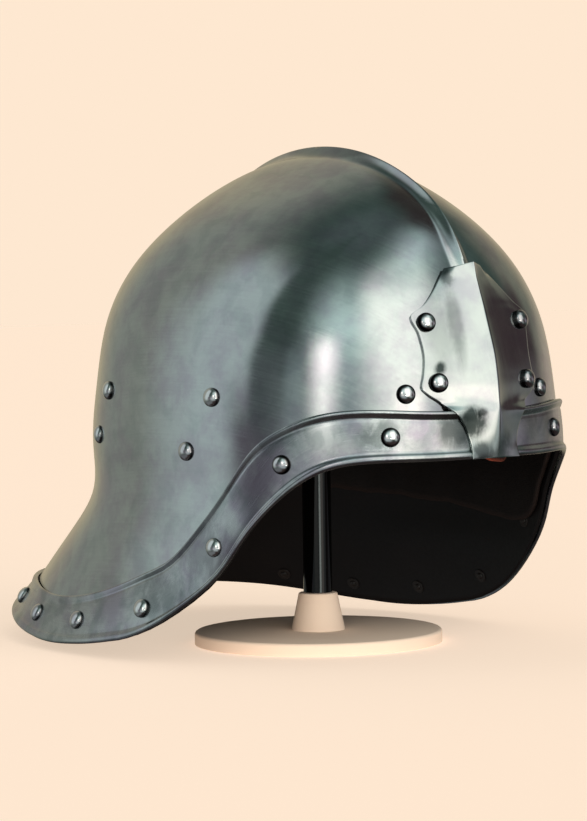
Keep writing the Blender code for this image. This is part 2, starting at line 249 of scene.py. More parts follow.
@dataclass
class HelmetForm:
    """The skull's outer face, as a surface over an angle and a height.

    Each section is a level cut through the bowl: its height, how far back
    its front, its widest place and its back are, its half width, and how
    full its front is.
    """

    apex_height: float = 140.5
    apex_back: float = 122.5
    back_fullness: float = 2.3
    comb: Comb = Comb()
    sections: Rows = (
        (128, 66.5, 130, 175.5, 31.5, 2), (112, 42, 124, 197.5, 56.5, 2),
        (90, 26, 118, 222, 76.5, 2.25), (60, 14, 114, 239.5, 89.5, 2.35),
        (30, 9.5, 112, 245, 94.5, 2.35), (0, 7.5, 112, 247.5, 96, 2.4),
        (-22, 4.5, 114.5, 247.5, 97, 2.4), (-38, 3.5, 118.5, 261.5, 100, 2.5),
        (-52, 2, 123, 278.5, 101.5, 2.5), (-70, 1, 131, 295.5, 107.5, 2.35),
        (-90, 0, 140.5, 317.5, 114, 2.25))

    def __post_init__(self) -> None:
        """Run one curve down the bowl for each column of the sections."""
        apex = (self.apex_height, *[self.apex_back] * 3, 0.0, self.sections[0][-1])
        heights, *columns = np.array([apex, *self.sections], float).T
        drop = self._drop(heights)
        self.front, self.widest, self.back, self.half_width, self.fullness = (
            SmoothCurve(drop, column) for column in columns)
        self.comb_front = TautCurve(*zip(*self.comb.front_half_widths))
        self.comb_hollowing = TautCurve(*zip(*self.comb.front_hollowings))

    def _drop(self, heights: Array) -> Array:
        """Return the square root of the drop, in which a dome is smooth."""
        return np.sqrt(np.maximum(self.apex_height - heights, 0.0))

    def bowl(self, angles: Array, heights: Array) -> Array:
        """Find points of the plain bowl.

        Args:
            angles: Angles round the helmet.
            heights: Heights above the brow's lower edge.

        Returns:
            One X, Y, Z row a point.
        """
        drop = self._drop(heights)
        cosine = np.cos(np.radians(angles))
        sine = np.sin(np.radians(angles))
        widest = self.widest(drop)
        ahead = cosine > 0.0
        power = np.where(ahead, 2.0 / self.fullness(drop), 2.0 / self.back_fullness)
        reach = np.where(ahead, widest - self.front(drop), self.back(drop) - widest)
        return np.stack([
            self.half_width(drop) * signed_power(sine, power),
            widest - reach * signed_power(cosine, power),
            heights + 0.0 * angles,
        ], axis=-1)

    def off(self, angles: Array, heights: Array, stand_off: Array) -> Array:
        """Find points that stand off the bowl.

        Args:
            angles: Angles round the helmet.
            heights: Heights above the brow's lower edge.
            stand_off: How far outwards each point stands.

        Returns:
            One X, Y, Z row a point.
        """
        step = 0.5
        along = self.bowl(angles + step, heights) - self.bowl(angles - step, heights)
        up = self.bowl(angles, heights + step) - self.bowl(angles, heights - step)
        away = np.cross(along, up)
        away /= np.linalg.norm(away, axis=-1, keepdims=True)
        return self.bowl(angles, heights) + away * np.expand_dims(stand_off, -1)

    def front_at(self, across: Array, heights: Array) -> Array:
        """Find how far back the bowl's front lies.

        Args:
            across: Distances from the middle plane.
            heights: Heights above the brow's lower edge.

        Returns:
            The Y of each point of the bowl's front face.
        """
        drop = self._drop(heights)
        full = self.fullness(drop)
        share = np.clip(np.abs(across) / self.half_width(drop), 0.0, 1.0)
        widest = self.widest(drop)
        return widest - (widest - self.front(drop)) * (1.0 - share ** full) ** (1.0 / full)

    def skull(self, angles: Array, heights: Array) -> Array:
        """Find points of the bowl with its comb raised over the crown.

        Args:
            angles: Angles round the helmet.
            heights: Heights above the brow's lower edge.

        Returns:
            One X, Y, Z row a point.
        """
        comb = self.comb
        points = self.bowl(angles, heights)
        aside = np.hypot(points[:, 0], comb.crest_radius) - comb.crest_radius
        ahead = points[:, 1] < self.apex_back
        half_width = np.where(ahead, self.comb_front(heights), comb.back_half_width)
        hollowing = np.where(ahead, self.comb_hollowing(heights), comb.back_hollowing)
        reach = np.maximum(1.0 - aside / half_width, 0.0)
        fade = np.where(ahead, fade_in(heights, *comb.front_fade),
                        fade_in(heights, *comb.back_fade))
        lift = comb.height * fade * reach ** hollowing
        away = points[:, 1:] - np.array(comb.centre)
        away /= np.linalg.norm(away, axis=-1, keepdims=True)
        points[:, 1:] += away * lift[:, None]
        return points


@dataclass
class Rim:
    """The border's two edges, right round the helmet.

    Each line is an angle from the brow, the lower edge's height and the
    upper edge's height.
    """

    lines: Rows = (
        (0, 0, 21.5), (18, 0, 22.2), (34, -0.1, 23.4), (47.5, -3.8, 21.6),
        (60.5, -17.2, 14), (69, -34.8, 3.4), (75.5, -55.4, -11.8), (82, -72.8, -30.4),
        (90, -84.2, -51), (100, -89.2, -65), (114, -88.4, -69.4), (131, -83.4, -66.5),
        (150, -80.2, -65.4), (180, -79.5, -65))

    def __post_init__(self) -> None:
        """Run a curve round each edge."""
        angles, lower, upper = zip(*self.lines)
        self._lower, self._upper = SmoothCurve(angles, lower), SmoothCurve(angles, upper)

    def lower(self, angles: Array) -> Array:
        """Return the heights of the lower edge at the angles."""
        return self._lower(from_brow(angles))

    def upper(self, angles: Array) -> Array:
        """Return the heights of the upper edge at the angles."""
        return self._upper(from_brow(angles))


@dataclass(frozen=True)
class Seat:
    """Where a rivet sits: the middle of its foot and its way out, in metres."""

    centre: Vector
    axis: Vector

    @classmethod
    def of(cls, node: Object) -> Seat:
        """Find a packed rivet's seat from its widest flat, its underside.

        Args:
            node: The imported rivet.

        Returns:
            The rivet's seat.
        """
        flats: dict[tuple[float, ...], list[bpy.types.MeshPolygon]] = {}
        for face in node.data.polygons:
            flats.setdefault(tuple(round(part, 2) for part in face.normal), []).append(face)
        under = max(flats.values(), key=lambda faces: sum(face.area for face in faces))
        area = sum(face.area for face in under)
        centre = sum((face.center * face.area for face in under), Vector()) / area
        return cls(centre, -under[0].normal)

    def matrix(self) -> Matrix:
        """Return the change from millimetres on the seat to metres."""
        turn = self.axis.to_track_quat("Z", "Y").to_matrix().to_4x4()
        return Matrix.Translation(self.centre) @ turn @ Matrix.Scale(MM, 4)


# ------------------------------------------------------------ mesh operators

def fitted_grid(columns: int, rows: int, surface: Callable[[Array, Array], Array],
                lay: Callable[[Array, Array], Array] | None = None) -> BMesh:
    """Fit a grid onto a surface.

    Args:
        columns: Faces across the grid.
        rows: Faces up the grid.
        surface: Gives a point for each pair of shares from 0 to 1.
        lay: Gives the place along the work for each pair, kept as "lay".

    Returns:
        The mesh, with columns or rows that came together welded.
    """
    bm = bmesh.new()
    bmesh.ops.create_grid(bm, x_segments=columns, y_segments=rows, size=0.5)
    across, up = (np.array([vertex.co[:2] for vertex in bm.verts]) + 0.5).T
    if lay is not None:
        layer = bm.verts.layers.float_vector.new("lay")
        for vertex, along in zip(bm.verts, lay(across, up)):
            vertex[layer] = along
    for vertex, point in zip(bm.verts, surface(across, up)):
        vertex.co = point
    bmesh.ops.remove_doubles(bm, verts=bm.verts, dist=GRID_WELD_MM)
    bmesh.ops.recalc_face_normals(bm, faces=bm.faces)
    return bm


def turned(profile: Rows, steps: int) -> BMesh:
    """Turn a closed solid about Z.

    Args:
        profile: Radius and height pairs that start and end on the axis.
        steps: Faces round the solid.

    Returns:
        The mesh, with its seam and poles welded.
    """
    bm = bmesh.new()
    corners = [bm.verts.new((radius, 0.0, height)) for radius, height in profile]
    edges = [bm.edges.new(pair) for pair in zip(corners, corners[1:])]
    bmesh.ops.spin(bm, geom=corners + edges, cent=(0, 0, 0), axis=(0, 0, 1),
                   angle=2.0 * math.pi, steps=steps, use_merge=True)
    bmesh.ops.remove_doubles(bm, verts=bm.verts, dist=TURNED_WELD_MM)
    bmesh.ops.recalc_face_normals(bm, faces=bm.faces)
    return bm


def arc(centre: Pair, reach: Pair, start: float, end: float, steps: int) -> list[Pair]:
    """Follow part of an ellipse.

    Args:
        centre: The ellipse's middle.
        reach: Its half axes.
        start: First angle in degrees.
        end: Last angle in degrees.
        steps: Spaces between the points.

    Returns:
        The points, first to last.
    """
    ways = np.radians(np.linspace(start, end, steps + 1))
    return [(centre[0] + reach[0] * math.cos(way), centre[1] + reach[1] * math.sin(way))
            for way in ways]


def finished(name: str, bm: BMesh, place: Matrix, *finishes: Material,
             sharp: float = 40.0) -> Object:
    """Turn a mesh into an object at the origin.

    Args:
        name: The piece's name.
        bm: The mesh in its own units, which is used up.
        place: The change from those units to metres.
        finishes: The piece's materials, in slot order.
        sharp: Angle in degrees past which an edge stays crisp.

    Returns:
        The new object.
    """
    bmesh.ops.transform(bm, matrix=place, verts=bm.verts)
    mesh = bpy.data.meshes.new(name)
    bm.to_mesh(mesh)
    bm.free()
    for finish in finishes:
        mesh.materials.append(finish)
    mesh.shade_smooth()
    mesh.set_sharp_from_angle(angle=math.radians(sharp))
    piece = bpy.data.objects.new(name, mesh)
    bpy.context.scene.collection.objects.link(piece)
    return piece


def give_wall(piece: Object, wall: float, inner_slot: int = 0) -> None:
    """Thicken a sheet inwards.

    Args:
        piece: The sheet.
        wall: Its thickness in millimetres.
        inner_slot: How many slots further on the inner face's material is,
            which the sheet's cut edge shares.
    """
    solid = piece.modifiers.new("wall", "SOLIDIFY")
    solid.thickness = wall * MM
    solid.offset = -1.0
    solid.use_even_offset = True
    solid.material_offset = solid.material_offset_rim = inner_slot


def mount(piece: Object, slot: str, *nodes: str) -> Object:
    """Tie a piece to the frame and log it.

    Args:
        piece: The finished piece.
        slot: The record's material slot.
        nodes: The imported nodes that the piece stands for.

    Returns:
        The same piece.
    """
    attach(piece, BODY)
    if nodes:
        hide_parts(*nodes)
    LOG.info("%s: %d faces, %s", piece.name, len(piece.data.polygons), slot)
    return piece


# ------------------------------------------------------------------ finishes

def linear(colour: str) -> tuple[float, ...]:
    """Turn an sRGB colour to linear values.

    Args:
        colour: The colour as hex digits after a #.

    Returns:
        Red, green, blue and full alpha.
    """
    parts = [int(colour[i:i + 2], 16) / 255.0 for i in (1, 3, 5)]
    return (*[part / 12.92 if part <= 0.04045 else ((part + 0.055) / 1.055) ** 2.4
              for part in parts], 1.0)


def add_node(tree: bpy.types.NodeTree, kind: str, inputs: dict[Any, Any] | None = None,
             out: str = "", **settings: Any) -> NodeSocket | None:
    """Add a node with its settings and links.

    Args:
        tree: The node tree.
        kind: The node's type name, less its "ShaderNode".
        inputs: Input name or number to a value, or to a socket to link from.
        out: The wanted output, where that isn't the first.
        settings: The node's own properties.

    Returns:
        The wanted output, if the node has any.
    """
    node = tree.nodes.new("ShaderNode" + kind)
    for name, value in settings.items():
        setattr(node, name, value)
    for key, value in (inputs or {}).items():
        if isinstance(value, NodeSocket):
            tree.links.new(value, node.inputs[key])
        else:
            node.inputs[key].default_value = value
    if out:
        return node.outputs[out]
    return next((end for end in node.outputs if end.enabled), None)


def new_material(name: str) -> tuple[Material, Adder]:
    """Make a material with an empty node tree.

    Args:
        name: The material's name.

    Returns:
        The material, and what adds a node to it.
    """
    material = bpy.data.materials.new(name)
    material.use_nodes = True
    material.node_tree.nodes.clear()
    return material, partial(add_node, material.node_tree)


@dataclass(frozen=True)
class StainAndShade:
    """A soft dark patch on the steel, in places a real stain and in places painted
    shade: where it is, how big and how dark.

    The place is in the helmet's millimetres, and the tilt turns the mark
    about the axis that runs from front to back. Its edge gives the shares of
    the way in at which it starts and is full.
    """

    place: Place
    reach: Place
    tilt: float = 0.0
    depth: float = 0.5
    raggedness: float = 3.2
    edge: Pair = (0.04, 0.7)
    tone: str = "#2C3634"

    def over(self, add: Adder, coords: NodeSocket, home: Vector, colour: NodeSocket,
             patch_noise: NodeSocket) -> NodeSocket:
        """Darken the colour over the stain.

        Args:
            add: Adds a node to the tree.
            coords: Object coordinates.
            home: The helmet's origin in metres.
            colour: The colour so far.
            patch_noise: The noise that breaks up the stain's edge.

        Returns:
            The darkened colour.
        """
        local = add("Mapping", {
            "Vector": coords, "Location": home + Vector(self.place) * MM,
            "Rotation": (0.0, math.radians(self.tilt), 0.0),
            "Scale": Vector(self.reach) * MM}, vector_type="TEXTURE")
        ball = add("TexGradient", {"Vector": local}, "Fac", gradient_type="SPHERICAL")
        ragged = add("Math", {0: patch_noise, 1: self.raggedness, 2: 1.0 - 0.5 * self.raggedness},
                     operation="MULTIPLY_ADD")
        spread = add("Math", {0: ball, 1: ragged}, operation="MULTIPLY")
        start, full = self.edge
        weight = add("MapRange", {"Value": spread, "From Min": start, "From Max": full,
                                  "To Max": self.depth}, interpolation_type="SMOOTHSTEP")
        return add("Mix", {"Factor": weight, "A": colour, "B": linear(self.tone)},
                   data_type="RGBA")


@dataclass(frozen=True)
class SatinSteel:
    """Mild steel sheet, raised by hammer, ground and brushed to a satin.

    The brushing leaves fine streaks that smear reflections, the hammer leaves
    long shallow waves that bend them, and oil on the surface tints it.
    """

    name: str
    bright: str = "#CACFCC"
    tinted: str = "#BDBABF"
    roughness: float = 0.12
    dull: str = "#A6B0AE"
    dullness: float = 0.35
    grain: Grain = Grain.ROUND_THE_BOWL
    streak_mm: float = 0.75
    streak_length_mm: float = 22.0
    streak_tilt: float = 34.0
    streak_height_mm: float = 0.0011
    streak_shade: float = 0.035
    wave_mm: float = 30.0
    wave_height_mm: float = 0.035
    film_mm: float = 20.0
    cloud_mm: float = 14.0
    patch_noise_mm: Place = (6.0, 6.0, 11.0)
    # Colour of the painted shade round a rivet head's foot.
    foot_shade: str = "#14100F"
    stains_and_shade: tuple[StainAndShade, ...] = ()

    def build(self, home: Vector) -> Material:
        """Make the material.

        Args:
            home: The helmet's origin in metres, from which the dark patches are placed.

        Returns:
            The material.
        """
        material, add = new_material(self.name)
        coords = add("TexCoord", out="Object")
        streaks = self._streaks(add, coords)
        waves, film, missed = (
            add("TexNoise", {"Vector": coords, "Scale": 1.0 / (size * MM), "Detail": detail,
                             "Roughness": roughness, "Distortion": distortion})
            for size, detail, roughness, distortion in (
                # Hammer waves under the brushing.
                (self.wave_mm, 1.5, 0.45, 0.0),
                # Patches of oil film, about the width of a wiping finger.
                (self.film_mm, 5.0, 0.62, 0.0),
                # Clouds of duller metal, which the last polish missed.
                (self.cloud_mm, 4.0, 0.55, 0.4)))
        # Noise drawn out down the work, that breaks up the edges of the dark patches.
        wiped = add("Mapping", {"Vector": coords, "Scale": Vector(self.patch_noise_mm) * MM},
                    vector_type="TEXTURE")
        patch_noise = add("TexNoise", {"Vector": wiped, "Scale": 1.0, "Detail": 6.0,
                                  "Roughness": 0.62, "Distortion": 0.3})

        colour = linear(self.bright)
        for noise, start, most, tone in ((film, 0.38, 1.0, self.tinted),
                                         (missed, 0.46, self.dullness, self.dull)):
            share = add("MapRange", {"Value": noise, "From Min": start, "From Max": 0.66,
                                     "To Max": most}, interpolation_type="SMOOTHSTEP")
            colour = add("Mix", {"Factor": share, "A": colour, "B": linear(tone)},
                         data_type="RGBA")
        shade, rough = (
            add("MapRange", {"Value": streaks, "From Min": 0.3, "From Max": 0.7,
                             "To Min": low, "To Max": high})
            for low, high in ((1.0 - self.streak_shade, 1.0 + self.streak_shade),
                              (self.roughness - 0.03, self.roughness + 0.05)))
        colour = add("VectorMath", {0: colour, "Scale": shade}, operation="SCALE")
        # Dark patches: real stains and smudges in places, and painted shade where the steel's
        # reflections are darker.
        for patch in self.stains_and_shade:
            colour = patch.over(add, coords, home, colour, patch_noise)
        # Painted shade round a rivet head's foot: a dark ring for the shade in the
        # corner and the dark reflection in the head's steep sides.
        foot = add("Attribute", out="Fac", attribute_name="foot")
        colour = add("Mix", {"Factor": foot, "A": colour, "B": linear(self.foot_shade)},
                     data_type="RGBA")

        waved = add("Bump", {"Height": waves, "Distance": self.wave_height_mm * MM})
        brushed = add("Bump", {"Height": streaks, "Distance": self.streak_height_mm * MM,
                               "Normal": waved})
        add("OutputMaterial", {"Surface": add("BsdfPrincipled", {
            "Base Color": colour, "Metallic": 1.0, "Roughness": rough, "Normal": brushed})})
        return material

    def _streaks(self, add: Adder, coords: NodeSocket) -> NodeSocket:
        """Draw noise out along the brush's stroke.

        Args:
            add: Adds a node to the tree.
            coords: Object coordinates.

        Returns:
            The noise.
        """
        fine, long = self.streak_mm * MM, self.streak_length_mm * MM
        scale, tilt = (long, long, fine), self.streak_tilt
        if self.grain is Grain.ALONG_THE_STRIP:
            scale, tilt = (long, fine, fine), 0.0
            coords = add("Attribute", out="Vector", attribute_name=self.grain.value)
        strokes = add("Mapping", {"Vector": coords, "Scale": scale,
                                  "Rotation": (0.0, math.radians(tilt), 0.0)},
                      vector_type="TEXTURE")
        return add("TexNoise", {"Vector": strokes, "Scale": 1.0, "Detail": 3.0,
                                "Roughness": 0.6, "Distortion": 0.15})


@dataclass(frozen=True)
class BlackenedSteel:
    """The skull's inside, left black from the forge and wiped with oil.

    Scale takes nearly all the light, with a faint brown where it has worn.
    """

    name: str = "forge_blackened_steel"
    scale: str = "#090707"
    worn: str = "#120D0C"
    roughness: float = 0.55
    grain_mm: float = 1.8
    grain_height_mm: float = 0.05
    cloud_mm: float = 30.0

    def build(self) -> Material:
        """Make the material.

        Returns:
            The material.
        """
        material, add = new_material(self.name)
        coords = add("TexCoord", out="Object")
        grain = add("TexNoise", {"Vector": coords, "Scale": 1.0 / (self.grain_mm * MM),
                                 "Detail": 5.0, "Roughness": 0.65})
        cloud = add("TexNoise", {"Vector": coords, "Scale": 1.0 / (self.cloud_mm * MM),
                                 "Detail": 3.0})
        colour = add("Mix", {"Factor": cloud, "A": linear(self.scale), "B": linear(self.worn)},
                     data_type="RGBA")
        rough = add("MapRange", {"Value": grain, "To Min": self.roughness - 0.12,
                                 "To Max": self.roughness + 0.15})
        bump = add("Bump", {"Height": grain, "Distance": self.grain_height_mm * MM})
        add("OutputMaterial", {"Surface": add("BsdfPrincipled", {
            "Base Color": colour, "Metallic": 0.2, "Roughness": rough, "Normal": bump})})
        return material


@dataclass(frozen=True)
class LinerLeather:
    """Vegetable-tanned cowhide, dyed dark, with its cut edges left red-brown."""

    name: str = "dark_cowhide"
    face: str = "#150F0D"
    crease: str = "#0C0908"
    edge: str = "#1B1311"
    worn: str = "#8A3A24"
    pore_mm: float = 0.9
    fold_mm: float = 9.0
    grain_height_mm: float = 0.25
    worn_place: Place = (3.0, 8.0, -2.0)
    worn_reach_mm: float = 15.0

    def build(self, home: Vector) -> Material:
        """Make the material.

        Args:
            home: The helmet's origin in metres, from which the worn edge over
                the brow is placed.

        Returns:
            The material.
        """
        material, add = new_material(self.name)
        coords = add("TexCoord", out="Object")
        pores = add("TexVoronoi", {"Vector": coords, "Scale": 1.0 / (self.pore_mm * MM)},
                    feature="DISTANCE_TO_EDGE")
        folds = add("TexNoise", {"Vector": coords, "Scale": 1.0 / (self.fold_mm * MM),
                                 "Detail": 5.0, "Roughness": 0.6})
        near_brow = add("Mapping", {
            "Vector": coords, "Location": home + Vector(self.worn_place) * MM,
            "Scale": [self.worn_reach_mm * MM] * 3}, vector_type="TEXTURE")
        wear = add("TexGradient", {"Vector": near_brow}, "Fac", gradient_type="SPHERICAL")
        dyed, core = (
            add("Mix", {"Factor": share, "A": linear(start), "B": linear(end)},
                data_type="RGBA")
            for share, start, end in ((folds, self.crease, self.face),
                                      (wear, self.edge, self.worn)))
        cut = add("Attribute", out="Fac", attribute_name="cut_edge")
        colour = add("Mix", {"Factor": cut, "A": dyed, "B": core}, data_type="RGBA")
        grain = add("Math", {0: pores, 1: 1.6, 2: folds}, operation="MULTIPLY_ADD")
        bump = add("Bump", {"Height": grain, "Strength": 0.8,
                            "Distance": self.grain_height_mm * MM})
        add("OutputMaterial", {"Surface": add("BsdfPrincipled", {
            "Base Color": colour, "Roughness": 0.62, "Specular IOR Level": 0.35,
            "Normal": bump})})
        return material


@dataclass(frozen=True)
class StandPaint:
    """Paint on the stand's steel: stoved gloss enamel or flat emulsion."""

    name: str
    colour: str
    roughness: float
    gloss: float
    ripple_mm: float = 2.4
    ripple_height_mm: float = 0.01
    dust_mm: float = 14.0

    def build(self) -> Material:
        """Make the material, whose faint ripple is the paint's orange peel.

        Returns:
            The material.
        """
        material, add = new_material(self.name)
        coords = add("TexCoord", out="Object")
        peel, dust = (
            add("TexNoise", {"Vector": coords, "Scale": 1.0 / (size * MM), "Detail": detail})
            for size, detail in ((self.ripple_mm, 1.0), (self.dust_mm, 4.0)))
        rough = add("MapRange", {"Value": dust, "To Min": self.roughness * 0.8,
                                 "To Max": self.roughness * 1.25})
        bump = add("Bump", {"Height": peel, "Distance": self.ripple_height_mm * MM})
        add("OutputMaterial", {"Surface": add("BsdfPrincipled", {
            "Base Color": linear(self.colour), "Roughness": rough,
            "Specular IOR Level": self.gloss, "Normal": bump})})
        return material


# -------------------------------------------------------------- sub-assemblies

@dataclass
class Skull:
    """The one-piece bowl with its comb, polished outside and black inside.

    Its rows are spread down it as on a ball, over the sweep in degrees.
    """

    form: HelmetForm
    rim: Rim
    wall: float = 1.6
    columns: int = 280
    rows: int = 100
    sweep: float = 110.0
    edge_above_border: float = 1.0

    def face(self, across: Array, along: Array) -> Array:
        """Find points of the bowl, from its crown down.

        Args:
            across: Shares of the way round.
            along: Shares of the way down.

        Returns:
            One X, Y, Z row a point.
        """
        angles = crowded_angles(across)
        edge = self.rim.lower(angles) + self.edge_above_border
        sweep = math.radians(self.sweep)
        drop = (1.0 - np.cos(sweep * along)) / (1.0 - math.cos(sweep))
        apex = self.form.apex_height
        return self.form.skull(angles, apex - (apex - edge) * drop)

    def build(self, place: Matrix, outside: Material, inside: Material) -> Object:
        """Make the skull.

        Args:
            place: The change from helmet millimetres to metres.
            outside: The polished steel.
            inside: The blackened steel.

        Returns:
            The skull.
        """
        bm = fitted_grid(self.columns, self.rows, self.face)
        piece = finished("raised_skull", bm, place, outside, inside, sharp=60.0)
        give_wall(piece, self.wall, inner_slot=1)
        return mount(piece, "satin_steel", "skull")


@dataclass
class BorderBand:
    """The strip round the rim, with a rolled bead along each edge.

    The beads' points are how far they lie inside the strip's edge and how far
    they stand off the skull. They are lower round the sides and the tail. Over
    the brow the strip is drawn forward, so that the plate lies close on it.
    """

    form: HelmetForm
    rim: Rim
    gap: float = 0.7
    flat: float = 1.9
    crown: float = 0.15
    brow_bulge: float = 2.2
    bulge_fade: Pair = (4.0, 18.0)
    side_bead: float = 0.68
    bead_fade: Pair = (38.0, 62.0)
    flat_inset: float = 0.8
    columns: int = 440
    flat_steps: int = 6
    path_steps: int = 720

    def __post_init__(self) -> None:
        """Set out the cross-section, and how far round the rim each angle is."""
        self.section = np.array(self._profile())
        self.turn = np.linspace(0.0, 360.0, self.path_steps + 1)
        path = self.form.bowl(self.turn, self.rim.lower(self.turn))
        steps = np.linalg.norm(np.diff(path, axis=0), axis=1)
        self.walked = np.concatenate([[0.0], np.cumsum(steps)])

    def _profile(self) -> list[Place]:
        """Set out the cross-section: lower bead, flat, upper bead and back.

        Returns:
            For each point its share of the width, what is added to that in
            millimetres, and how far it stands off the skull.
        """
        lower = [(-0.2, self.gap), (-0.5, 1.1), *arc((1.35, 1.6), (1.85, 1.5), 195, 32, 10),
                 (3.45, 2.1), (4.0, 1.87), (4.6, 1.85)]
        upper = [(0.2, self.gap), (0.0, 1.5), *arc((1.15, 2.0), (1.15, 1.05), 190, 48, 8),
                 (2.6, 2.45), (3.3, 1.95), (3.9, 1.70), (4.5, 1.72), (5.2, 1.86)]
        start, end = (bead[-1][0] + self.flat_inset for bead in (lower, upper))
        return [*((0.0, inset, proud) for inset, proud in lower),
                *((share, start - (start + end) * share,
                   self.flat + self.crown * math.sin(math.pi * share))
                  for share in np.linspace(0.0, 1.0, self.flat_steps + 1)),
                *((1.0, -inset, proud) for inset, proud in reversed(upper)),
                (0.66, 0.0, self.gap), (0.33, 0.0, self.gap)]

    def _set_out(self, across: Array, along: Array) -> tuple[Array, Array, Array]:
        """Find where points lie on the strip.

        Args:
            across: Shares of the way round the helmet.
            along: Shares of the way round the cross-section.

        Returns:
            The points' angles, how far up the strip they lie, and how far they
            stand off the skull.
        """
        sides = len(self.section)
        share, extra, proud = self.section[np.round(along * sides).astype(int) % sides].T
        angles = crowded_angles(across)
        width = self.rim.upper(angles) - self.rim.lower(angles)
        return angles, width * share + extra, proud

    def face(self, across: Array, along: Array) -> Array:
        """Find points of the strip.

        Args:
            across: Shares of the way round the helmet.
            along: Shares of the way round the cross-section.

        Returns:
            One X, Y, Z row a point.
        """
        angles, climb, proud = self._set_out(across, along)
        aside = from_brow(angles)
        bulge = self.brow_bulge * (1.0 - fade_in(aside, *self.bulge_fade))
        lowered = (1.0 - self.side_bead) * fade_in(aside, *self.bead_fade)
        bead = np.maximum(proud - self.flat, 0.0)
        return self.form.off(angles, self.rim.lower(angles) + climb,
                             proud - bead * lowered + bulge)

    def lay(self, across: Array, along: Array) -> Array:
        """Find how far along and up the strip its points lie.

        Args:
            across: Shares of the way round the helmet.
            along: Shares of the way round the cross-section.

        Returns:
            Along, up and nothing in metres, one row a point.
        """
        angles, climb, _ = self._set_out(across, along)
        return np.stack([np.interp(angles, self.turn, self.walked), climb, 0.0 * climb],
                        axis=-1) * MM

    def build(self, place: Matrix, finish: Material) -> Object:
        """Make the band.

        Args:
            place: The change from helmet millimetres to metres.
            finish: The border's steel.

        Returns:
            The band.
        """
        bm = fitted_grid(self.columns, len(self.section), self.face, self.lay)
        piece = finished("beaded_border", bm, place, finish, sharp=50.0)
        return mount(piece, "border_steel", "border_band")


@dataclass
class BrowPlate:
    """The creased plate with cusped sides, riveted over the brow.

    Above the border its edges are hammered back until they nearly touch the
    skull. Each row is a height, the half width, and how far back the ridge
    and the edges are.
    """

    form: HelmetForm
    wall: float = 1.2
    clearance: float = 0.35
    most_hammered: float = 1.6
    hammered_from: Pair = (20.0, 28.5)
    hammered_share: Pair = (0.62, 1.05)
    peak: float = 2.8
    bow: float = 0.85
    gathering: float = 1.25
    columns: int = 72
    rows_up: int = 130
    crease_radius: float = 0.02
    soft_crease: float = 0.30
    soft_below: float = 26.0
    edge_round: float = 0.4
    rows: Rows = (
        (0, 14.5, 0.6, 1.8), (5, 14, 0, 2.9), (10.5, 15.2, -0.6, 3.8), (16.5, 18, -0.9, 4.4),
        (21, 21.5, -0.9, 5), (25, 26, -0.6, 8.4), (29, 32, -0.3, 11.2), (32.8, 35.3, 0, 12.3),
        (38, 34, 0.7, 12.4), (47, 32.6, 2.3, 13.4), (57, 33.6, 5.3, 15.8),
        (64.5, 36, 7.7, 18.3), (70, 28, 9.5, 18.2), (76, 21.5, 11.7, 19.2),
        (81.5, 16.6, 13.6, 20.5), (86, 12.6, 15.3, 21.2))

    def __post_init__(self) -> None:
        """Run the outline and the section up the plate."""
        heights, widths, ridge, edge = zip(*self.rows)
        self.outline, self.edge = TautCurve(heights, widths), TautCurve(heights, edge)
        self.ridge = SmoothCurve(heights, ridge)

    def face(self, across: Array, along: Array) -> Array:
        """Find points of the plate.

        Args:
            across: Shares of the way across, from its right side.
            along: Shares of the way up.

        Returns:
            One X, Y, Z row a point.
        """
        (last, *_), (top, *_) = self.rows[-2:]
        heights = along * top
        across = signed_power(2.0 * across - 1.0, self.gathering)
        soft = self.crease_radius + self.soft_crease * fade_in(-heights, -self.soft_below, 0.0)
        out = (np.hypot(across, soft) - soft) / (np.hypot(1.0, soft) - soft)
        ridge, edge, width = self.ridge(heights), self.edge(heights), self.outline(heights)
        gap = self.form.front_at(width, heights) - edge - self.wall - self.clearance
        hammered = (np.clip(gap, 0.0, self.most_hammered)
                    * fade_in(heights, *self.hammered_from))
        width = width - 0.5 * hammered
        back = ridge + (edge - ridge) * out ** self.bow
        back += hammered * fade_in(np.abs(across), *self.hammered_share)
        peak = self.peak * fade_in(heights, last, top) * (1.0 - np.abs(across))
        return np.stack([width * across, back, heights + peak], axis=-1)

    def build(self, place: Matrix, finish: Material) -> Object:
        """Make the plate.

        Args:
            place: The change from helmet millimetres to metres.
            finish: The plate's steel.

        Returns:
            The plate.
        """
        bm = fitted_grid(self.columns, self.rows_up, self.face)
        bm.faces.ensure_lookup_table()
        if bm.faces[0].normal.y > 0.0:
            bmesh.ops.reverse_faces(bm, faces=bm.faces)
        piece = finished("creased_brow_plate", bm, place, finish, sharp=50.0)
        give_wall(piece, self.wall)
        eased = piece.modifiers.new("eased_edges", "BEVEL")
        eased.width = self.edge_round * MM
        eased.segments = 2
        eased.limit_method = "ANGLE"
        eased.angle_limit = math.radians(50.0)
        return mount(piece, "plate_steel", "brow_plate")


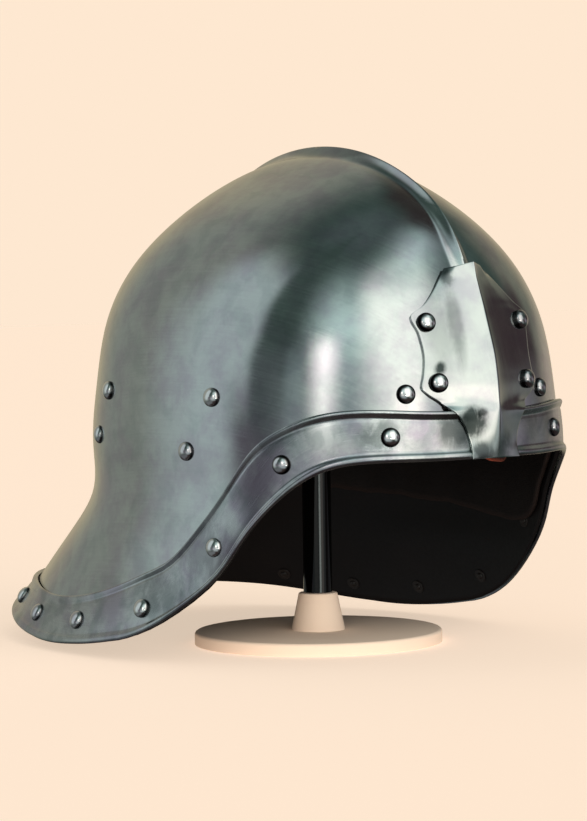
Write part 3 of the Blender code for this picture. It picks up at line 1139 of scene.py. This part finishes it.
@dataclass
class Liner:
    """The leather band inside the skull, cut by hand along its lower edge.

    A short tongue hangs below the brow, a little to the left of the middle.
    Each line is an angle from the brow and the lower edge's height.
    """

    form: HelmetForm
    skull_wall: float
    gap: float = 0.9
    wall: float = 2.0
    upper: float = 42.0
    ragged: float = 0.7
    ripple: float = 0.25
    tongue: float = 3.6
    tongue_middle: float = 3.4
    tongue_fade: Pair = (1.2, 4.6)
    columns: int = 300
    rows: int = 24
    lines: Rows = ((0, 1), (14, 2.2), (30, 3), (50, -2), (62, -15), (70, -31), (78, -39),
                   (88, -35.5), (105, -30), (130, -26), (180, -25))

    def face(self, across: Array, along: Array) -> Array:
        """Find points of the leather's outer face.

        Args:
            across: Shares of the way round the helmet.
            along: Shares of the way up the leather.

        Returns:
            One X, Y, Z row a point.
        """
        angles = crowded_angles(across)
        turn = np.radians(angles)
        nicks = self.ragged * (np.sin(23.0 * turn + 1.0) + 0.6 * np.sin(57.0 * turn)) / 1.6
        aside = np.abs(angles - 360.0 * np.round(angles / 360.0) - self.tongue_middle)
        tongue = self.tongue * (1.0 - fade_in(aside, *self.tongue_fade))
        lower = SmoothCurve(*zip(*self.lines))(from_brow(angles)) + nicks - tongue
        ripple = self.ripple * (np.sin(31.0 * turn + 3.0 * along) - 1.0)
        return self.form.off(angles, lower + (self.upper - lower) * along,
                             ripple - self.skull_wall - self.gap)

    def build(self, place: Matrix, finish: Material) -> Object:
        """Make the liner.

        Args:
            place: The change from helmet millimetres to metres.
            finish: The leather.

        Returns:
            The liner.
        """
        bm = fitted_grid(self.columns, self.rows, self.face)
        piece = finished("leather_liner", bm, place, finish, sharp=60.0)
        self._mark_cut_edge(piece.data)
        give_wall(piece, self.wall)
        return mount(piece, "liner_leather", "liner")

    def _mark_cut_edge(self, mesh: bpy.types.Mesh) -> None:
        """Mark the free edges, where the leather's undyed core shows.

        Args:
            mesh: The leather's mesh before it has its thickness.
        """
        cut = mesh.attributes.new("cut_edge", "FLOAT", "POINT")
        uses = np.bincount([loop.edge_index for loop in mesh.loops])
        for edge in mesh.edges:
            if uses[edge.index] == 1:
                for corner in edge.vertices:
                    cut.data[corner].value = 1.0


@dataclass
class Rivets:
    """Domed rivet heads outside, with washers and clenched ends inside.

    A ring gives the shares of a head's radius at which its painted shade starts
    and is full: a dark ring for the shade at the head's foot and the dark
    reflection in its steep sides. The heads by the brow on the right have the
    wide ring. The clench is given by its radius and its height.
    """

    radius: float = 4.45
    height: float = 2.9
    sink: float = 0.75
    # Rings of painted shade round the heads' feet, wide and thin.
    wide_shade_ring: Pair = (0.62, 0.88)
    thin_shade_ring: Pair = (0.90, 1.02)
    wide_shade_ahead_mm: float = 60.0
    washer_radius: float = 3.4
    washer_wall: float = 0.6
    washer_sink: float = 0.4
    washer_round: float = 0.15
    clench: Pair = (1.8, 0.9)
    reach_in: float = 12.0
    steps: int = 36
    end_steps: int = 20

    def build(self, home: Vector, finish: Material, blackened: Material,
              inside: Sequence[Object], seats: dict[str, Seat]) -> None:
        """Make every head, and all the inner ends as one piece.

        Args:
            home: The helmet's origin in metres.
            finish: The rivets' polished steel.
            blackened: The black steel of the inner ends.
            inside: The pieces that the rivets go through.
            seats: Rivet node name to its seat.
        """
        dome = arc((0.0, 0.0), (self.radius, self.height), 90, 0, 16)
        profile = [*dome, (self.radius, -self.sink), (0.0, -self.sink)]
        for node, seat in seats.items():
            bm = turned(profile, self.steps)
            place = (seat.centre - home) / MM
            # The heads by the brow on the right get the wide ring of painted shade.
            wide_shade = place.x < 0.0 and place.y < self.wide_shade_ahead_mm
            self._mark_foot_shade(bm, self.wide_shade_ring if wide_shade else self.thin_shade_ring)
            piece = finished(node.replace("rivet", "rivet_head"), bm, seat.matrix(), finish)
            mount(piece, "rivet_steel", node)
        self._clench_ends(blackened, inside, seats)

    def _mark_foot_shade(self, bm: BMesh, ring: Pair) -> None:
        """Mark how much painted shade lies on each ring of a head, most at its foot.

        Args:
            bm: The head's mesh in millimetres.
            ring: Where the painted shade starts and is full, as shares of the radius.
        """
        layer = bm.verts.layers.float.new("foot")
        for vertex in bm.verts:
            share = vertex.co.xy.length / self.radius
            vertex[layer] = float(fade_in(np.array(share), *ring))

    def _clench_ends(self, finish: Material, inside: Sequence[Object],
                     seats: dict[str, Seat]) -> None:
        """Make the washers and clenched ends, each on the innermost face.

        Args:
            finish: The black steel of the inner ends.
            inside: The pieces that the rivets go through.
            seats: Rivet node name to its seat.
        """
        rim, top, sink = self.washer_radius, self.washer_wall, self.washer_sink
        profile = [*arc((0.0, top), self.clench, 90, 0, 5), (rim - self.washer_round, top),
                   (rim, top - self.washer_round), (rim, -sink), (0.0, -sink)]
        graph = bpy.context.evaluated_depsgraph_get()
        walls = [BVHTree.FromObject(piece, graph) for piece in inside]
        joined = bmesh.new()
        for seat in seats.values():
            start = seat.centre - seat.axis * self.reach_in * MM
            found = [wall.ray_cast(start, seat.axis, self.reach_in * MM) for wall in walls]
            hits = [hit for hit in found if hit[0] is not None]
            if not hits:
                continue
            spot = min(hits, key=lambda hit: hit[3])[0]
            end = turned(profile, self.end_steps)
            bmesh.ops.transform(end, matrix=Seat(spot, -seat.axis).matrix(), verts=end.verts)
            mesh = bpy.data.meshes.new("end")
            end.to_mesh(mesh)
            end.free()
            joined.from_mesh(mesh)
            bpy.data.meshes.remove(mesh)
        piece = finished("rivet_washers", joined, Matrix.Identity(4), finish)
        mount(piece, "rivet_steel")


@dataclass
class DisplayStand:
    """The plain stand: a round foot with a hub, a pole and a domed head."""

    foot_edge: float = 1.5
    foot_height: float = 6.0
    hub_radii: Pair = (13.0, 9.5)
    lip: float = 1.0
    head_edge: float = 0.6
    steps: int = 72

    def build(self, foot_paint: Material, enamel: Material) -> None:
        """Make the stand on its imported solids.

        Args:
            foot_paint: The foot's flat paint.
            enamel: The pole's and head's gloss enamel.
        """
        foot = self._turn("turned_foot", "stand_base", self._foot, foot_paint, "pale_paint")
        # The rim's underside would mirror it as a pale line.
        foot.visible_glossy = False
        self._turn("enamelled_pole", "stand_pole", self._pole, enamel, "black_enamel")
        self._turn("domed_head", "stand_head", self._head, enamel, "black_enamel")

    def _foot(self, radius: float, height: float) -> list[Pair]:
        """Set out the foot's profile: a disc that sweeps up into its hub.

        Args:
            radius: The foot's radius in millimetres.
            height: The height of its hub.

        Returns:
            The profile's radius and height pairs.
        """
        (bottom, top), edge, lip = self.hub_radii, self.foot_edge, self.lip
        return [(0.0, 0.0), (radius, 0.0),
                *arc((radius - edge, self.foot_height - edge), (edge, edge), 0, 90, 4),
                (bottom, self.foot_height),
                *arc((top - lip, height - lip), (lip, lip), 0, 90, 4), (0.0, height)]

    def _pole(self, radius: float, height: float) -> list[Pair]:
        """Return the pole's profile."""
        return [(0.0, 0.0), (radius, 0.0), (radius, height), (0.0, height)]

    def _head(self, radius: float, height: float) -> list[Pair]:
        """Set out the head's profile: a shallow dome with a rounded edge.

        Args:
            radius: The head's radius in millimetres.
            height: Its height.

        Returns:
            The profile's radius and height pairs.
        """
        edge = self.head_edge
        return [(0.0, 0.0), (radius - edge, 0.0), (radius, edge),
                *arc((0.0, edge), (radius, height - edge), 4, 90, 14)]

    def _turn(self, name: str, node: str, profile: Callable[[float, float], list[Pair]],
              finish: Material, slot: str) -> Object:
        """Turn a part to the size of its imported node, on the same axis.

        Args:
            name: The piece's name.
            node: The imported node.
            profile: Gives the profile for a radius and a height.
            finish: The part's paint.
            slot: The record's material slot.

        Returns:
            The part.
        """
        low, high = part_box(node)
        size = (high - low) / MM
        foot = Vector(((low.x + high.x) / 2.0, (low.y + high.y) / 2.0, low.z))
        bm = turned(profile(size.x / 2.0, size.z), self.steps)
        piece = finished(name, bm, Matrix.Translation(foot) @ Matrix.Scale(MM, 4), finish)
        return mount(piece, slot, node)


# -------------------------------------------------------------------- studio

@dataclass(frozen=True)
class LightPanel:
    """A soft panel of the studio, by the directions that it fills.

    Its middle is an azimuth and an elevation in degrees, from straight ahead
    of the brow, towards the wearer's left and upwards. Spread is half the
    panel's width and height, and feather is how far its edges fade.
    """

    azimuth: float
    elevation: float
    spread: Pair
    feather: Pair
    colour: str
    strength: float = 1.0

    def over(self, add: Adder, ways: Sequence[NodeSocket], light: NodeSocket,
             gain: float) -> NodeSocket:
        """Lay the panel over the light so far.

        Args:
            add: Adds a node to the world.
            ways: The direction's azimuth and elevation in degrees.
            light: The light so far.
            gain: How bright the whole studio is.

        Returns:
            The light with the panel over it.
        """
        azimuth, elevation = ways
        aside = add("Math", {0: azimuth, 1: self.azimuth + 180.0, 2: self.azimuth - 180.0},
                    operation="WRAP")
        weights = []
        for value, middle, spread, feather in zip(
                (aside, elevation), (self.azimuth, self.elevation), self.spread, self.feather):
            offset = add("Math", {0: value, 1: middle}, operation="SUBTRACT")
            distance = add("Math", {0: offset}, operation="ABSOLUTE")
            weights.append(add("MapRange", {
                "Value": distance, "From Min": spread - feather / 2.0,
                "From Max": spread + feather / 2.0, "To Min": 1.0, "To Max": 0.0},
                interpolation_type="SMOOTHSTEP"))
        weight = add("Math", dict(enumerate(weights)), operation="MULTIPLY")
        glow = [part * self.strength * gain for part in linear(self.colour)[:3]]
        return add("Mix", {"Factor": weight, "A": light, "B": (*glow, 1.0)},
                   data_type="RGBA")


@dataclass
class Studio:
    """Soft panels all round, a pale lit floor and a plain pale backdrop."""

    backdrop: str = "#FEE8D1"
    dark: str = "#323E3B"
    gain: float = 1.78
    panels: tuple[LightPanel, ...] = (
        # Dark brown boards below, and a dim teal grey ceiling.
        LightPanel(0, -80, (400, 56), (20, 18), "#2A2423"),
        LightPanel(0, 99, (400, 22), (20, 14), "#3F4949"),
        # A long wall of light behind the right shoulder, olive and then grey,
        # that ends in a dark gap.
        LightPanel(-173, 22, (53, 36), (18, 31), "#6F726D"),
        LightPanel(-122.5, 22, (24, 33), (22, 24), "#8F999B"),
        LightPanel(-90, 40, (15.5, 52), (8, 24), "#333F3C"),
        LightPanel(-98, -2.5, (20, 10), (14, 12), "#4D4C51"),
        LightPanel(-97, 11, (11, 8), (8, 10), "#3E4446"),
        LightPanel(-79, 9, (6, 10), (7, 12), "#596265"),
        # A shaded wall on the right, with a narrow lamp in front of it.
        LightPanel(-30, 31, (36, 19), (38, 58), "#AFC3C2"),
        LightPanel(-58, 14, (5.5, 10.5), (21, 12), "#FFFBF5", 1.65),
        # The main light over the brow, and its dimmer left end.
        LightPanel(1, 25, (29, 28), (27, 32), "#ECEEE8", 0.98),
        LightPanel(26, 8, (11, 23), (15, 26), "#A8AFAF"),
        # A high light on the left, and the dark end of the room beyond it.
        LightPanel(33, 55, (27, 6), (58, 42), "#BACFCE"),
        LightPanel(92, 58, (33.5, 12), (20, 14), "#2B2827"),
        LightPanel(109, 21, (27, 13), (18, 22), "#636259"),
        # Warm light low down behind the left shoulder.
        LightPanel(141, 6, (28, 29), (34, 58), "#908670"),
        LightPanel(108, -2.5, (18, 8.5), (40, 16), "#91867A"),
        # Dim light off the floor all round, with a dark pillar in it.
        LightPanel(52, 2, (25, 9), (31, 21), "#77737A"),
        LightPanel(40, -1, (12, 11), (14, 14), "#3D3939"),
        LightPanel(79, 12.5, (11.5, 9.5), (11, 9), "#362D2F"),
        LightPanel(-51, -10, (34, 18), (32, 26), "#828B8C"),
        LightPanel(-48, -1.5, (15, 4.5), (10, 5), "#C0C2BD"),
        LightPanel(-82, -7, (5, 3.5), (6, 5), "#928E96"),
        LightPanel(-115, -38, (45, 16), (30, 16), "#4E5254"),
        LightPanel(120, -58, (70, 30), (20, 20), "#2C2827"),
        # A low lamp beside the camera.
        LightPanel(0, -1, (10, 9), (10, 10), "#FFF8F0", 1.15),
        # A strip lamp that lines the pole.
        LightPanel(-17, -5.2, (6.5, 1.6), (7, 1.6), "#F4FFF8", 4.6),
    )
    paper: str = "#FBD8C7"
    floor_half: float = 6.0
    floor_glow: float = 0.66
    foot_watts: float = 14.0
    foot_light_size: float = 1.2
    foot_light_place: Place = (-1.1, -1.3, 0.75)

    def build(self) -> None:
        """Make the world, the floor and the light on the stand's foot."""
        self._paint_world()
        self._lay_floor()
        self._light_foot()

    def _paint_world(self) -> None:
        """Paint the panels into the world, one over the other."""
        world = bpy.data.worlds.new("studio")
        world.use_nodes = True
        bpy.context.scene.world = world
        world.node_tree.nodes.clear()
        add = partial(add_node, world.node_tree)
        x, y, z = add("SeparateXYZ", {"Vector": add("TexCoord", out="Generated")}).node.outputs
        ahead = add("Math", {0: y, 1: -1.0}, operation="MULTIPLY")
        ways = [add("Math", {0: angle}, operation="DEGREES") for angle in (
            add("Math", {0: x, 1: ahead}, operation="ARCTAN2"),
            add("Math", {0: z}, operation="ARCSINE"))]

        dark = [part * self.gain for part in linear(self.dark)[:3]]
        light = add("CombineXYZ", dict(zip("XYZ", dark)))
        for panel in self.panels:
            light = panel.over(add, ways, light, self.gain)
        studio = add("Background", {"Color": light})
        plain = add("Background", {"Color": linear(self.backdrop)})
        seen = add("LightPath", out="Is Camera Ray")
        add("OutputWorld", {"Surface": add("MixShader", {"Fac": seen, 1: studio, 2: plain})})

    def _lay_floor(self) -> None:
        """Lay a matte pale floor, lit evenly, that the steel doesn't mirror."""
        material, add = new_material("pale_floor_paper")
        add("OutputMaterial", {"Surface": add("BsdfPrincipled", {
            "Base Color": linear(self.paper), "Roughness": 0.9, "Specular IOR Level": 0.0,
            "Emission Color": linear(self.backdrop), "Emission Strength": self.floor_glow})})
        bm = bmesh.new()
        bmesh.ops.create_grid(bm, x_segments=1, y_segments=1, size=self.floor_half)
        floor = finished("studio_floor", bm, Matrix.Identity(4), material)
        floor.visible_glossy = floor.visible_shadow = False
        floor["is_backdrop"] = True

    def _light_foot(self) -> None:
        """Light the stand's foot alone, so that it is as pale as the floor."""
        data = bpy.data.lights.new("foot_light", "AREA")
        data.size = self.foot_light_size
        data.energy = self.foot_watts
        data.color = linear(self.backdrop)[:3]
        lamp = bpy.data.objects.new("foot_light", data)
        lamp.location = self.foot_light_place
        lamp.rotation_euler = lamp.location.to_track_quat("Z", "Y").to_euler()
        lamp.visible_glossy = False
        lit = bpy.data.collections.new("lit_by_foot_light")
        lit.objects.link(bpy.data.objects["turned_foot"])
        lamp.light_linking.receiver_collection = lit
        bpy.context.scene.collection.objects.link(lamp)


@dataclass(frozen=True)
class StudioCamera:
    """A long lens, a little above the brow and to the helmet's front right."""

    azimuth: float = -40.066
    elevation: float = 2.814
    roll: float = -0.87
    distance: float = 1.56
    aim: Place = (0.0014, -0.0068, -0.0080)
    lens: float = 140.31
    sensor: float = 36.0

    def build(self) -> None:
        """Make the camera and look at the middle of the object."""
        low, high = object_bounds()
        target = (low + high) / 2.0 + Vector(self.aim)
        turn, climb = math.radians(self.azimuth), math.radians(self.elevation)
        back = Vector((math.sin(turn) * math.cos(climb), -math.cos(turn) * math.cos(climb),
                       math.sin(climb)))
        data = bpy.data.cameras.new("camera")
        data.lens = self.lens
        data.sensor_width = self.sensor
        camera = bpy.data.objects.new("camera", data)
        look = (-back).to_track_quat("-Z", "Y").to_matrix().to_4x4()
        roll = Matrix.Rotation(math.radians(self.roll), 4, "Z")
        camera.matrix_world = Matrix.Translation(target + back * self.distance) @ look @ roll
        bpy.context.scene.collection.objects.link(camera)
        bpy.context.scene.camera = camera


# ---------------------------------------------------------------------- main

@dataclass
class Sallet:
    """The whole helmet on its stand.

    The pole's middle is given in millimetres behind the brow.
    """

    pole_back: float = 128.0
    form: HelmetForm = field(default_factory=HelmetForm)
    rim: Rim = field(default_factory=Rim)

    def home(self) -> Vector:
        """Find the helmet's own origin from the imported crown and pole.

        Returns:
            The origin in metres.
        """
        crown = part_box("skull")[1].z
        front, back = (corner.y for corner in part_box("stand_pole"))
        crest = (self.form.apex_height + self.form.comb.height) * MM
        return Vector((0.0, (front + back) / 2.0 - self.pole_back * MM, crown - crest))

    def steels(self) -> list[SatinSteel]:
        """List the polished steels.

        Returns:
            The skull's, the border's, the plate's and the rivets' steel.
        """
        return [
            SatinSteel("brushed_skull_steel", stains_and_shade=(
                # Painted shade that darkens the comb's flank over the crown and dims its
                # reflection.
                StainAndShade((-2, 112, 143.5), (14, 46, 8.5), 0, 0.36, 1, (0.2, 0.5), "#26302B"),)),
            SatinSteel(
                "brushed_border_steel", bright="#C8CBCA", tinted="#B0AAB4", dull="#8B9694",
                dullness=0.5, roughness=0.23, grain=Grain.ALONG_THE_STRIP,
                streak_shade=0.05, wave_mm=15.0, wave_height_mm=0.045, stains_and_shade=(
                    # Painted shade on the band beside the brow plate's right edge.
                    StainAndShade((-21, 7, 13), (13, 16, 13), 15, 0.8, 1.8, (0, 0.75)),
                    # Painted shade that dims a highlight on the band at the right cheek.
                    StainAndShade((-55, 20, 12), (13, 16, 10), 0, 0.6, tone="#57625F"),
                    # Darker patches low on the band on the right, towards the back.
                    StainAndShade((-104, 114, -62), (16, 26, 15), 0, 0.45, tone="#4C5254"),
                    StainAndShade((-100, 92, -38), (24, 28, 22), 0, 0.42, tone="#4E4854"))),
            SatinSteel(
                "brushed_plate_steel", bright="#C2C8C4", tinted="#B6B6BA", streak_mm=0.9,
                streak_tilt=86.0, streak_shade=0.02, streak_height_mm=0.0009,
                wave_height_mm=0.03, stains_and_shade=(
                    # Dark patches on the plate, partly smudges on the steel and partly painted
                    # shade and painted reflection, darker towards the bottom and on the left
                    # face.
                    StainAndShade((-23.5, 13, 60), (10, 24, 34), 0, 0.24, 1.2),
                    StainAndShade((-15, 11, 60), (5.4, 22, 28), 2, 0.44, 1.6),
                    StainAndShade((-12.5, 20, 82), (4.5, 12, 8), 10, 0.55),
                    StainAndShade((-26, 10, 41), (3.8, 12, 4.8), 30, 0.95, 2),
                    StainAndShade((-13, 2.5, 16.5), (9.5, 14, 10.5), 35, 0.92, 3, (0.05, 0.7)),
                    StainAndShade((-8.9, 1.5, 20.6), (4.5, 8, 3.2), -20, 0.75, tone="#1C2221"),
                    StainAndShade((-9, 1.5, 2.5), (12, 12, 7), 0, 0.75),
                    StainAndShade((4.5, 1, 6), (8, 10, 9)))),
            SatinSteel(
                "polished_rivet_steel", bright="#F1F0ED", tinted="#D5D0D4", dullness=0.0,
                roughness=0.11, streak_shade=0.0, wave_mm=2.8, wave_height_mm=0.09, stains_and_shade=(
                    # Painted shade that dulls the heads on the left of the brow, on the
                    # helmet's shaded side.
                    StainAndShade((38, 12, 36), (34, 30, 50), 0, 0.42, 0.5, (0, 0.3), "#5E565C"),)),
        ]

    def build(self, frame: dict[str, Any]) -> None:
        """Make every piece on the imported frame.
        """
        home = self.home()
        place = Matrix.Translation(home) @ Matrix.Scale(MM, 4)
        skull_steel, border_steel, plate_steel, rivet_steel = (
            steel.build(home) for steel in self.steels())
        blackened = BlackenedSteel().build()
        washer_steel = BlackenedSteel("blackened_washer_steel", "#171413", "#221D1B",
                                      0.42).build()
        leather = LinerLeather().build(home)
        enamel = StandPaint("gloss_black_enamel", "#040404", 0.08, 0.26).build()
        foot_paint = StandPaint("flat_pale_paint", "#FFEBDA", 0.7, 0.2).build()

        skull = Skull(self.form, self.rim)
        inside = (
            skull.build(place, skull_steel, blackened),
            BorderBand(self.form, self.rim).build(place, border_steel),
            BrowPlate(self.form).build(place, plate_steel),
            Liner(self.form, skull.wall).build(place, leather))
        seats = {name: Seat.of(node) for name, node in frame["nodes"].items()
                 if name.startswith("rivet_")}
        Rivets().build(home, rivet_steel, washer_steel, inside, seats)
        DisplayStand().build(foot_paint, enamel)


def corners(box: tuple[Vector, Vector]) -> list[list[float]]:
    """Return a box's two corners as plain lists."""
    return [list(corner) for corner in box]


def main() -> None:
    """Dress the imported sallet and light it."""
    logging.basicConfig(level=logging.INFO, format="%(name)s %(message)s")
    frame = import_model()
    StudioCamera().build()
    Sallet().build(frame)
    Studio().build()
    bpy.context.scene.view_settings.view_transform = "Standard"


if __name__ == "__main__":
    main()
